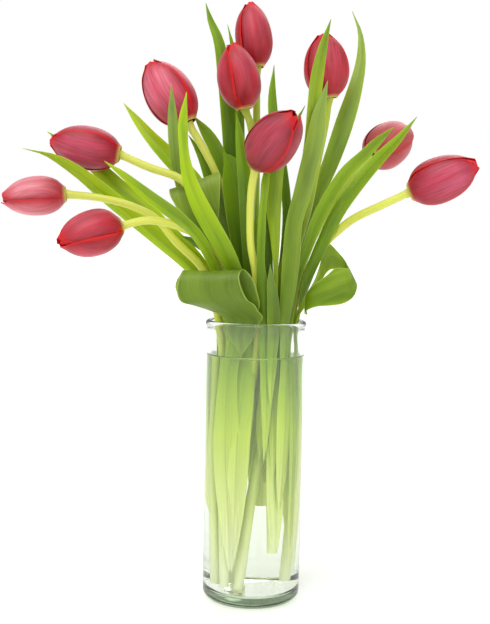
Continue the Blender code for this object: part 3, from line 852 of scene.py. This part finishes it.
STEMS = {
    "tulip_1": [(-14, 14, 52), (-15, 9, 130), (-16, 3, 250), (-38, -2, 320),
                (-54, -6, 357), (-67, -3, 371), (-97, 2, 382), (-123, 4, 393)],
    "tulip_2": [(-25, -4, 14), (-30, -6, 130), (-33, -8, 250), (-47, -10, 294),
                (-72, -13, 319), (-89, -14, 338), (-110, -15, 348),
                (-135, -14, 354), (-168, -10, 357)],
    "tulip_3": [(-20, -16, 14), (-22, -10, 130), (-21, -6, 250), (-37, -10, 306),
                (-53, -18, 324), (-64, -28, 330), (-79, -38, 335),
                (-95, -48, 336), (-114, -55, 331)],
    "tulip_4": [(-7, 27, 14), (-8, 27, 130), (-9, 24, 250), (-26, 21, 319),
                (-36, 19, 372), (-50, 17, 400), (-64, 16, 422)],
    "tulip_5": [(5, 28, 80), (5, 28, 150), (4, 28, 250), (-2, 30, 328),
                (-3, 36, 400), (-4, 42, 475)],
    "tulip_6": [(9, 14, 104), (4, 13, 170), (-3, 13, 250), (-7, 14, 329),
                (-6, 14, 399), (-9, 13, 423), (-14, 12, 435)],
    "tulip_7": [(-14, 2, 14), (-9, -3, 100), (-6, -10, 165), (2, -22, 250),
                (-1, -25, 291), (-6, -28, 317), (-7, -30, 342),
                (-6, -32, 366), (-3, -35, 384)],
    "tulip_8": [(-9, -14, 12), (0, -7, 100), (9, -1, 165), (22, -7, 250),
                (34, -8, 313), (44, -6, 352), (51, -3, 391), (57, 0, 426),
                (59, 0, 445)],
    "tulip_9": [(22, 4, 16), (27, 8, 130), (29, 11, 250), (41, 14, 301),
                (55, 19, 334), (78, 30, 369), (102, 45, 396)],
    "tulip_10": [(15, -11, 45), (15, -12, 150), (25, -7, 215), (31, -3, 252),
                 (44, 0, 293), (54, 0, 312), (66, -4, 326), (80, -15, 339),
                 (103, -33, 352), (127, -40, 364)],
}

# ---- heads: tip (x, y, z), widest diameter, twist in degrees ------------

HEADS = {
    "tulip_1": ((-185, 2, 404), 39, -20),
    "tulip_2": ((-223, -15, 352), 35, 48),
    "tulip_3": ((-163, -75, 317), 39, 46),
    "tulip_4": ((-100, 26, 476), 44, -4),
    "tulip_5": ((-12, 50, 534), 34, 55),
    "tulip_6": ((-27, 12, 492), 38, 38),
    "tulip_7": ((29, -70, 426), 42, 76),
    "tulip_8": ((53, 0, 500), 40, 0),
    "tulip_9": ((139, 80, 424), 42, 0),
    "tulip_10": ((181, -55, 388), 39, 69),
}

# ---- plain leaves: points (x, y, z, width, turn), lowest first ----------
# turn is the direction of the width, in degrees from +X towards +Y

LEAVES = {
    "leaf_far_left": [
        (-33, 10, 254, 10, -50), (-59, 4, 295, 12, 0),
        (-82, 0, 315, 13, 0), (-112, -3, 340, 14, 0), (-134, -7, 358, 15, 0),
        (-156, -17, 376, 12, 0), (-178, -30, 389, 7, 0), (-198, -44, 394, 0, 0)],
    "leaf_left_low": [
        (-28, 19, 254, 9, -42), (-53, 13, 300, 12, -5),
        (-83, 10, 329, 14, 0), (-104, 11, 348, 16, 0), (-125, 16, 364, 16, 0),
        (-148, 23, 384, 13, 0), (-170, 30, 400, 9, 0), (-192, 34, 413, 0, 0)],
    "leaf_left_middle": [
        (-24, -16, 254, 9, -20), (-40, -20, 304, 10, 0),
        (-52, -29, 324, 11, 0), (-69, -42, 340, 12, 0), (-87, -49, 353, 11, 0),
        (-101, -53, 364, 9, 0), (-113, -57, 374, 6, 0), (-127, -61, 384, 0, 0)],
    "leaf_left_upper": [
        (-22, 25, 254, 11, 0), (-41, 25, 332, 13, 0),
        (-56, 25, 368, 15, 0), (-78, 27, 390, 16, 0), (-99, 34, 411, 12, 0),
        (-113, 42, 427, 7, 0), (-125, 48, 441, 0, 0)],
    "leaf_left_narrow": [
        (-21, 17, 254, 8, 0), (-49, 17, 319, 9, 0),
        (-64, 20, 350, 9, 0), (-70, 17, 366, 8, 0), (-73, 10, 380, 8, 0),
        (-75, -1, 402, 9, 0),
        (-76, -8, 427, 8, 0), (-77, -12, 453, 0, 0)],
    "leaf_front_left": [
        (-9, -17, 252, 12, 0), (-18, -22, 290, 13, 0),
        (-28, -27, 312, 15, 0), (-40, -31, 332, 16, 0), (-51, -34, 352, 15, 0),
        (-59, -38, 372, 12, 0), (-63, -43, 394, 8, 0), (-64, -48, 418, 8, 0),
        (-61, -54, 442, 0, 0)],
    "leaf_back_left": [
        (-6, 34, 256, 11, 0), (-20, 34, 319, 13, 0),
        (-30, 34, 368, 13, 0), (-38, 34, 398, 13, 0), (-49, 36, 416, 10, 0),
        (-60, 39, 430, 0, 0)],
    "leaf_left_short": [
        (-13, 31, 256, 10, 0), (-32, 30, 323, 10, 0),
        (-42, 29, 364, 10, 0), (-52, 28, 394, 8, 0), (-64, 27, 412, 0, 0)],
    "leaf_tall_left": [
        (7, 36, 256, 11, 0), (-16, 41, 319, 14, 0),
        (-23, 42, 373, 15, 0), (-28, 42, 427, 15, 0), (-33, 44, 465, 13, 0),
        (-40, 50, 501, 9, 0), (-48, 56, 520, 5, 0), (-52, 60, 534, 0, 0)],
    "leaf_thin_back": [
        (0, 20, 256, 7, 0), (-13, 23, 328, 8, 0),
        (-17, 27, 399, 8, 0), (-19, 35, 442, 7, 0), (-25, 36, 487, 5, 0),
        (-31, 36, 511, 0, 0)],
    "leaf_centre_edge": [
        (-2, -7, 256, 12, 0), (-7, -10, 307, 12, 0),
        (-10, -12, 342, 12, 0), (-13, -13, 376, 11, 0), (-17, -13, 406, 8, 0),
        (-21, -13, 430, 0, 0)],
    "leaf_centre_point": [
        (18, 0, 256, 9, 0), (24, 0, 312, 8, 0),
        (25, 0, 347, 8, 0), (20, 0, 383, 9, 0), (13, 0, 416, 9, 0),
        (10, 1, 446, 7, 0), (11, 1, 472, 0, 0)],
    "leaf_centre_right": [
        (11, -14, 256, 10, 0), (9, -16, 308, 8, 0),
        (7, -17, 342, 8, 0), (15, -18, 385, 9, 0), (27, -18, 415, 6, 0),
        (38, -18, 436, 0, 0)],
    "leaf_centre_broad": [
        (15, -24, 256, 7, 0), (16, -25, 294, 4, 0),
        (15, -25, 321, 8, 0), (13, -24, 351, 13, 0), (14, -23, 381, 14, 0),
        (20, -23, 406, 9, 0), (27, -23, 425, 0, 0)],
    "leaf_front_right": [
        (25, -25, 254, 10, 35), (27, -27, 279, 13, 0),
        (29, -28, 307, 15, 0), (31, -29, 338, 14, 0), (36, -29, 357, 15, 0),
        (41, -29, 380, 15, 0), (47, -29, 407, 15, 0), (50, -29, 430, 11, 0),
        (53, -29, 443, 6, 0), (56, -29, 456, 0, 0)],
    "leaf_channelled": [
        (18, -16, 256, 10, 0), (28, -18, 317, 10, 0),
        (38, -20, 364, 12, 0), (44, -22, 407, 12, 0), (45, -26, 434, 11, 0),
        (47, -32, 460, 11, 0), (51, -42, 484, 7, 0), (56, -52, 503, 0, 0)],
    "leaf_tall_right": [
        (24, 3, 256, 10, 0), (36, 4, 308, 10, 0),
        (43, 5, 334, 11, 0), (53, 6, 363, 12, 0), (65, 9, 396, 15, 0),
        (75, 13, 427, 16, 0), (83, 20, 454, 13, 0), (89, 32, 486, 8, 0),
        (88, 40, 507, 4, 0), (81, 48, 527, 0, 0)],
    "leaf_right_upper": [
        (29.5, -18.5, 254, 6, 50), (36, -19, 294, 7, 0),
        (43, -19, 316, 9, 0), (51, -18, 339, 11, 0), (62, -17, 361, 11, 0),
        (75, -17, 381, 11, 0), (89, -21, 395, 10, 0), (102, -28, 409, 7, 0),
        (112, -34, 418, 0, 0)],
    "leaf_right_outer": [
        (37.5, -7, 254, 7, 72), (45, -10, 290, 9, 12),
        (57, -14, 321, 11, 0), (70, -9, 348, 12, 0), (87, -1, 372, 12, 0),
        (104, 1, 393, 11, 0), (121, 0, 411, 7, 0), (136, 0, 430, 0, 0)],
    "leaf_centre_narrow": [
        (7, -31, 254, 10, 0), (5, -32, 278, 10, 0),
        (3, -33, 302, 7, 0), (3, -33, 325, 7, 0), (4, -33, 351, 6, 0),
        (6, -30, 376, 6, 0), (8, -27, 390, 0, 0)],
    "leaf_front_wedge": [
        (15, -34, 252, 11, 20), (14, -35, 270, 10, 0),
        (12, -35, 285, 7, 0), (11, -34, 301, 0, 0)],
    "leaf_dark_left": [
        (-34, 0, 254, 7, 60), (-39, 1, 296, 6, 0),
        (-44, -1, 309, 7, 0), (-54, -4, 317, 8, 0), (-67, -7, 323, 0, 0)],
    "leaf_arched_back": [
        (-5, 4, 256, 9, 0), (-14, 5, 320, 20, 0),
        (-18, 5, 352, 24, 0), (-21, 5, 376, 23, 0), (-27, 5, 390, 10, 0),
        (-32, 5, 396, 0, 0)],
}

# ---- curled leaves: middle, half-width vector and sag -------------------
# (x, y, z, half_x, half_y, half_z, sag), the leaf's foot first

CURLED_LEAVES = {
    "leaf_front_curled": [
        (-18, -24, 224, 7, -3, 0, 0), (-12, -27, 252, 11, -4, 0, -2),
        (-15, -29, 258, 16, -4, 0, -2), (-24, -32, 266, 27, -5, 1, -3),
        (-33, -34, 275, 34, -4, 1, -2), (-36, -36, 286, 33, -4, 2, -1),
        (-37, -41, 295, 26, -1, 1, 1),
        (-40, -50, 290, 25, -1, 1, 1), (-40, -52, 281, 27, -1, 1, 1),
        (-36, -52, 271, 28, 0, 1, 1), (-28, -46, 266, 26, -2, 1, -1),
        (-20, -38, 260, 21, -4, 1, -3), (-12, -33, 253, 17, -4, 0, -4),
        (-12, -32, 249, 14, -3, 0, -4),
        (-13, -30, 237, 10, -4, 0, -3), (-12, -32, 223, 1, 0, 0, 0)],
    "leaf_right_loop": [
        (34.5, -13.5, 224, 1.3, -2.2, 0, 0), (34.5, -13.5, 252, 1.3, -2.2, 0, 0),
        (44, -16, 271, 2, -1, -2, 0), (51, -14, 283, 2, -1, -2, 0),
        (56, -7, 293, 2, -1, -4, 0), (60, -1, 302, 2, -0.5, -8, 0),
        (64, 2, 307, 2, -0.5, -11, 0), (74, -0.5, 303, 4, -2, -9, 0),
        (81, -6, 296, 4, -2, -8, 0), (83, -13, 290, 4, -1, -8, 0),
        (80, -20, 286, 4, -0.5, -12, 0), (71, -24, 283, 4, -1, -15, 0),
        (62, -25, 279, 2, -1.0, -13, 0), (52, -24, 275, 0.6, -2, -10, 0),
        (45, -20, 270, 0.1, -2, -8, 0), (42, -15, 264, -0.1, -1, -6, 0),
        (44.5, -9, 257, 0, 0, -1, 0)],
    "leaf_arched_left": [
        (-18, 11, 224, 5, 0, 0, 0), (-18, 11, 256, 7, 0, 1, 0),
        (-30, 13, 310, 13, 0, 3, 0), (-52, 14, 352, 20, 0, 7, 1),
        (-56, 12, 366, 22, 0, 8, 1), (-57, 7, 371, 22, 0, 8, 1),
        (-56, 2, 366, 22, 0, 8, 1), (-52, 0, 352, 18, 0, 6, 1),
        (-45, 3, 334, 10, 0, 3, 1), (-38, 6, 320, 1, 0, 0, 0)],
}

# look, cup of the section (negative is hollow towards the front) and margin wave
LEAF_STYLE = {
    "leaf_far_left": ("sunny", LEAF_CUP, 0.5),
    "leaf_left_low": ("sunny", LEAF_CUP, 0.6),
    "leaf_left_middle": ("fresh", LEAF_CUP, 0.5),
    "leaf_left_upper": ("fresh", LEAF_CUP, 0.5),
    "leaf_left_narrow": ("grey", LEAF_CUP, 0.3),
    "leaf_front_left": ("fresh", LEAF_CUP, 0.5),
    "leaf_back_left": ("deep", LEAF_CUP, 0.4),
    "leaf_left_short": ("deep", LEAF_CUP, 0.3),
    "leaf_tall_left": ("deep", LEAF_CUP, 0.5),
    "leaf_thin_back": ("deep", LEAF_CUP, 0.2),
    "leaf_centre_edge": ("deep", LEAF_CUP, 0.3),
    "leaf_centre_point": ("deep", LEAF_CUP, 0.3),
    "leaf_centre_right": ("deep", LEAF_CUP, 0.3),
    "leaf_centre_broad": ("light", LEAF_CUP, 0.4),
    "leaf_front_right": ("grey", LEAF_CUP, 0.4),
    "leaf_channelled": ("light", -0.30, 0.3),
    "leaf_tall_right": ("grey", 0.30, 0.5),
    "leaf_right_upper": ("mid", -0.20, 0.3),
    "leaf_right_outer": ("mid", LEAF_CUP, 0.4),
    "leaf_centre_narrow": ("mid", LEAF_CUP, 0.2),
    "leaf_front_wedge": ("grey", LEAF_CUP, 0.1),
    "leaf_dark_left": ("deep", LEAF_CUP, 0.2),
    "leaf_arched_back": ("deep", -0.45, 0.6),
    "leaf_front_curled": ("grey", 1.0, 0.3),
    "leaf_right_loop": ("loop", 1.0, 0.2),
    "leaf_arched_left": ("grey", 1.0, 0.3),
}

# leaf sheaths in the water, lowest first, below each leaf's first point
SHEATHS = {
    "leaf_far_left": [(-20, -4, 26, 1, -70), (-24, -2, 60, 8, -70), (-31, 4, 140, 15, -65)],
    "leaf_left_low": [(-15, 15, 34, 1, -20), (-18, 14, 60, 9, -20), (-26, 15, 150, 14, -45)],
    "leaf_left_middle": [(-19, -18, 44, 1, -40), (-21, -19, 80, 11, -40),
                         (-24, -21, 150, 18, -35)],
    "leaf_left_upper": [(-8, 25, 84, 1, 0), (-10, 25, 116, 9, 0), (-16, 26, 170, 14, 0)],
    "leaf_left_narrow": [(-13, 10, 66, 1, 0), (-15, 12, 100, 9, 0), (-18, 15, 160, 12, 0)],
    "leaf_front_left": [(-15, -22, 30, 1, -10), (-14, -24, 70, 12, -10),
                        (-13, -27, 140, 20, -10)],
    "leaf_back_left": [(-4, 31, 96, 1, 0), (-5, 32, 130, 9, 0), (-6, 33, 180, 12, 0)],
    "leaf_left_short": [(-8, 29, 98, 1, 0), (-9, 30, 130, 8, 0), (-12, 31, 180, 10, 0)],
    "leaf_tall_left": [(0, 31, 76, 1, 0), (2, 32, 104, 9, 0), (6, 34, 160, 13, 0)],
    "leaf_thin_back": [(4, 24, 90, 1, 0), (4, 24, 122, 6, 0), (2, 22, 170, 9, 0)],
    "leaf_centre_edge": [(-8, -11, 110, 1, 0), (-6, -10, 150, 8, 0), (-4, -9, 190, 12, 0)],
    "leaf_centre_point": [(11, 8, 104, 1, 0), (14, 6, 136, 8, 0), (16, 3, 184, 11, 0)],
    "leaf_centre_right": [(4, -12, 128, 1, 0), (6, -14, 164, 9, 0), (9, -14, 194, 11, 0)],
    "leaf_centre_broad": [(15, -17, 112, 1, 0), (15, -18, 140, 6, 0), (14, -20, 184, 8, 0)],
    "leaf_front_right": [(20, -15, 84, 1, 40), (22, -18, 116, 10, 40), (24, -22, 164, 14, 40)],
    "leaf_channelled": [(17, -14, 50, 6, 10), (17, -14, 74, 11, 10), (16, -15, 130, 13, 10)],
    "leaf_tall_right": [(23, 4, 52, 1, 20), (24, 4, 84, 9, 20), (25, 3, 150, 14, 20)],
    "leaf_right_upper": [(28, -8, 24, 1, 60), (29, -10, 60, 6, 60), (31, -14, 150, 11, 60)],
    "leaf_right_outer": [(28, 4, 22, 1, 80), (30, 2, 56, 8, 80), (36, -3, 130, 12, 84)],
    "leaf_centre_narrow": [(8, -20, 130, 1, 0), (9, -23, 160, 6, 0), (9, -26, 192, 9, 0)],
    "leaf_front_wedge": [(13, -28, 176, 0.5, 20), (13, -29, 196, 5, 20)],
    "leaf_dark_left": [(-30, 2, 120, 1, 80), (-33, 1, 170, 6, 80)],
    "leaf_arched_back": [(-2, 6, 120, 1, 0), (-3, 5, 170, 7, 0)],
    "leaf_front_curled": [(-17, -22, 30, 0.3, -0.1, 0, 0), (-18, -23, 70, 7, -3, 0, 1),
                          (-22, -24, 140, 11, -5, 0, 2)],
    "leaf_right_loop": [(31, -12, 30, 0.3, -0.6, 0, 0), (32, -12, 66, 1.4, -4, 0, 0),
                        (34, -12, 150, 2, -5, 0, 0)],
    "leaf_arched_left": [(-13, 5, 62, 0.4, 0, 0, 0), (-15, 6, 96, 6, 0, 0, 0),
                         (-17, 9, 160, 8, 0, 0, 1)],
}


def make_floor():
    """A wide pale floor."""
    reach = 14.0
    steps = 24
    points = [(reach * (2.0 * i / steps - 1.0) / MM, reach * (2.0 * j / steps - 1.0) / MM, -0.2)
              for i in range(steps + 1) for j in range(steps + 1)]
    faces = [(i * (steps + 1) + j, (i + 1) * (steps + 1) + j,
              (i + 1) * (steps + 1) + j + 1, i * (steps + 1) + j + 1)
             for i in range(steps) for j in range(steps)]
    mesh = bpy.data.meshes.new("floor")
    mesh.from_pydata([Vector(point) * MM for point in points], [], faces)
    graph = Graph("floor_pale")
    place = graph.add("ShaderNodeTexCoord").outputs["Object"]
    grain = graph.noise(place, (1.0, 1.0), 300.0, 2.0)
    graph.feed(graph.shader.inputs["Base Color"],
               graph.ramp(grain, [(0.3, (0.965, 0.965, 0.965, 1.0)),
                                  (0.7, (0.98, 0.98, 0.98, 1.0))]))
    graph.shader.inputs["Roughness"].default_value = 0.9
    graph.shader.inputs["Specular IOR Level"].default_value = 0.0
    mesh.materials.append(graph.material)
    floor = bpy.data.objects.new("floor", mesh)
    bpy.context.collection.objects.link(floor)


make_floor()
make_vase()
make_water()
finishes = petal_finishes()
for tulip in STEMS:
    make_stem(tulip)
    make_head(tulip, finishes)
for leaf in LEAVES:
    make_leaf(leaf)
for leaf in CURLED_LEAVES:
    make_curled_leaf(leaf)
